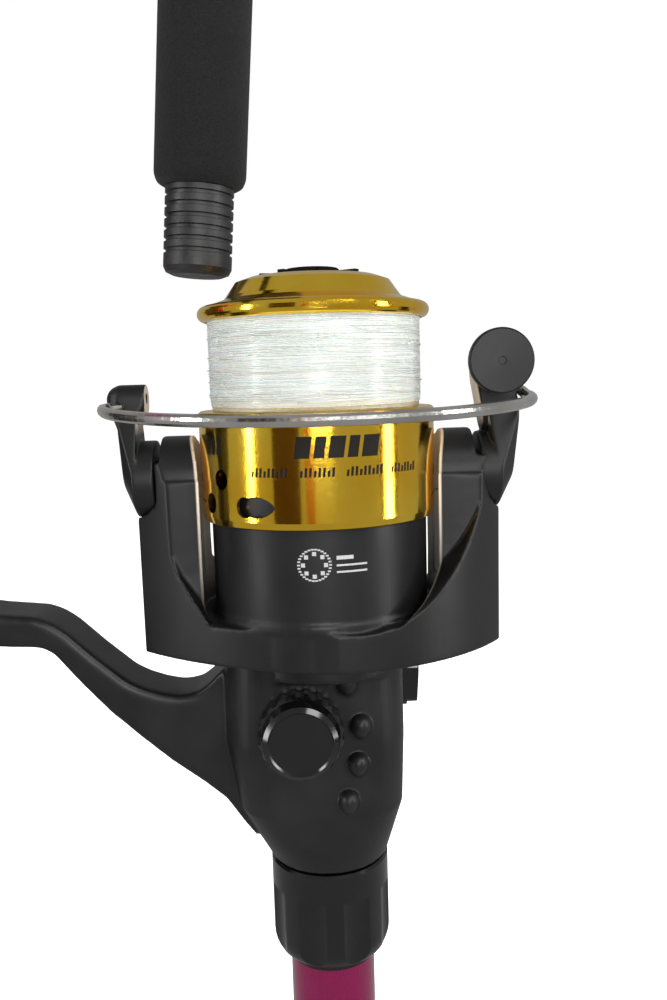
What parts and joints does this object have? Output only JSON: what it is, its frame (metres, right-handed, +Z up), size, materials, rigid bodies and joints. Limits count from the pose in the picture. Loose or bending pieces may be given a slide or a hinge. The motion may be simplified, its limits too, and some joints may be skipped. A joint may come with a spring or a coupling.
{
  "type": "spinning fishing reel on a folding rod handle",
  "caption": "Spinning reel with gold spool, wire bail and crank, its foot clamped in a rod seat with a folding foam grip and a rear tube socket.",
  "frame": {"origin": "centre of the open lower end of the rod tube behind the reel", "axes": "+Z up along the spool axis from the rod tube to the spool, -X towards the reel foot and rod seat, +Y towards the crank"},
  "size_m": [0.158, 0.1334, 0.328],
  "materials": {
    "satin_black": "fine-grained satin moulded plastic",
    "gloss_black": "polished moulded plastic",
    "gold_plate": "gold plated, mirror bright",
    "bail_chrome": "bright drawn wire",
    "steel": "turned steel",
    "brass": "turned brass",
    "zinc": "die-cast zinc, dull",
    "acetal": "moulded acetal",
    "magenta_anodised": "anodised aluminium tube",
    "nylon_line": "wound monofilament nylon",
    "foam": "EVA foam, fine pores",
    "black_rubber": "moulded rubber",
    "felt": "oiled felt"
  },
  "bodies": {
    "housing": {"rod_tube": "magenta_anodised", "tube_collet": "gloss_black", "body_shell": "satin_black", "side_cover": "satin_black", "cover_screws": "steel", "drive_bearings": "steel", "pinion_bearing": "steel", "pawl_pin": "steel", "seat_tube": "magenta_anodised", "reel_seat": "satin_black", "end_cap": "black_rubber", "hinge_block": "satin_black", "hinge_pin": "steel"},
    "collar": {"lock_collar": "gloss_black"},
    "osc": {"osc_gear": "acetal"},
    "crank": {"drive_gear": "zinc", "screw_cap": "gloss_black", "crank_arm": "satin_black", "knob_post": "steel"},
    "knob": {"handle_knob": "satin_black"},
    "rotor": {"pinion_gear": "brass", "ratchet_wheel": "steel", "rotor": "satin_black", "rotor_nut": "steel", "bail_spring": "steel", "arm_covers": "satin_black", "lever_screws": "steel"},
    "pawl": {"ratchet_pawl": "steel"},
    "stop_lever": {"anti_reverse_lever": "gloss_black"},
    "bail": {"bail_lever_left": "satin_black", "bail_lever_right": "satin_black", "bail_wire": "bail_chrome", "roller_cap": "satin_black"},
    "roller": {"line_roller": "bail_chrome"},
    "spool_shaft": {"main_shaft": "steel", "crosshead": "acetal", "shaft_washer": "steel"},
    "spool": {"spool": "gold_plate", "spool_flange": "gold_plate", "click_gear": "acetal", "line_winding": "nylon_line", "drag_washers": "felt"},
    "drag": {"drag_spring": "steel", "drag_knob": "satin_black"},
    "hood": {"sliding_hood": "satin_black"},
    "seat_nut": {"seat_nut": "satin_black"},
    "grip": {"fold_arm": "satin_black", "grip_tube": "magenta_anodised", "foam_grip": "foam", "ribbed_spigot": "black_rubber"}
  },
  "joints": [
    {"name": "crank_turn", "type": "hinge", "parent": "housing", "child": "crank", "pos_m": [-0.0057, 0, 0.125], "axis": [0, 1, 0], "continuous": true},
    {"name": "knob_turn", "type": "hinge", "parent": "crank", "child": "knob", "pos_m": [-0.0057, 0.07, 0.175], "axis": [0, 1, 0], "continuous": true},
    {"name": "osc_turn", "type": "hinge", "parent": "housing", "child": "osc", "pos_m": [0.003, 0, 0.1085], "axis": [0, 1, 0], "continuous": true},
    {"name": "rotor_turn", "type": "hinge", "parent": "housing", "child": "rotor", "pos_m": [0, 0, 0.15], "axis": [0, 0, 1], "continuous": true},
    {"name": "bail_swing", "type": "hinge", "parent": "rotor", "child": "bail", "pos_m": [0, 0, 0.18], "axis": [-1, 0, 0], "range_deg": [0, 90]},
    {"name": "roller_turn", "type": "hinge", "parent": "bail", "child": "roller", "pos_m": [0.0395, -0.007, 0.2043], "axis": [0, 1, 0], "continuous": true},
    {"name": "spool_slide", "type": "slide", "parent": "housing", "child": "spool_shaft", "axis": [0, 0, 1], "range_m": [-0.014, 0]},
    {"name": "spool_turn", "type": "hinge", "parent": "spool_shaft", "child": "spool", "pos_m": [0, 0, 0.2], "axis": [0, 0, 1], "continuous": true},
    {"name": "drag_turn", "type": "hinge", "parent": "spool_shaft", "child": "drag", "pos_m": [0, 0, 0.223], "axis": [0, 0, 1], "range_deg": [-180, 540]},
    {"name": "stop_lever_turn", "type": "hinge", "parent": "housing", "child": "stop_lever", "pos_m": [0.019, 0.0095, 0.128], "axis": [1, 0, 0], "range_deg": [0, 30]},
    {"name": "pawl_turn", "type": "hinge", "parent": "housing", "child": "pawl", "pos_m": [0.0095, 0.0095, 0.147], "axis": [0, 0, -1], "range_deg": [0, 18]},
    {"name": "collar_turn", "type": "hinge", "parent": "housing", "child": "collar", "pos_m": [0, 0, 0.074], "axis": [0, 0, 1], "range_deg": [0, 90]},
    {"name": "hood_slide", "type": "slide", "parent": "housing", "child": "hood", "axis": [0, 0, 1], "range_m": [0, 0.0061]},
    {"name": "seat_nut_turn", "type": "hinge", "parent": "hood", "child": "seat_nut", "pos_m": [-0.0945, 0, 0.193], "axis": [0, 0, 1], "range_deg": [0, 1440]},
    {"name": "grip_fold", "type": "hinge", "parent": "housing", "child": "grip", "pos_m": [-0.05703, 0.00661, 0.322], "axis": [-0.1736, 0.9848, 0], "range_deg": [-184.5, 0]}
  ],
  "couplings": [
    {"joint": "rotor_turn", "follows": "crank_turn", "ratio": -4.1},
    {"joint": "osc_turn", "follows": "crank_turn", "ratio": -0.66667},
    {"joint": "hood_slide", "follows": "seat_nut_turn", "m_per_rad": 0.00023873}
  ]
}
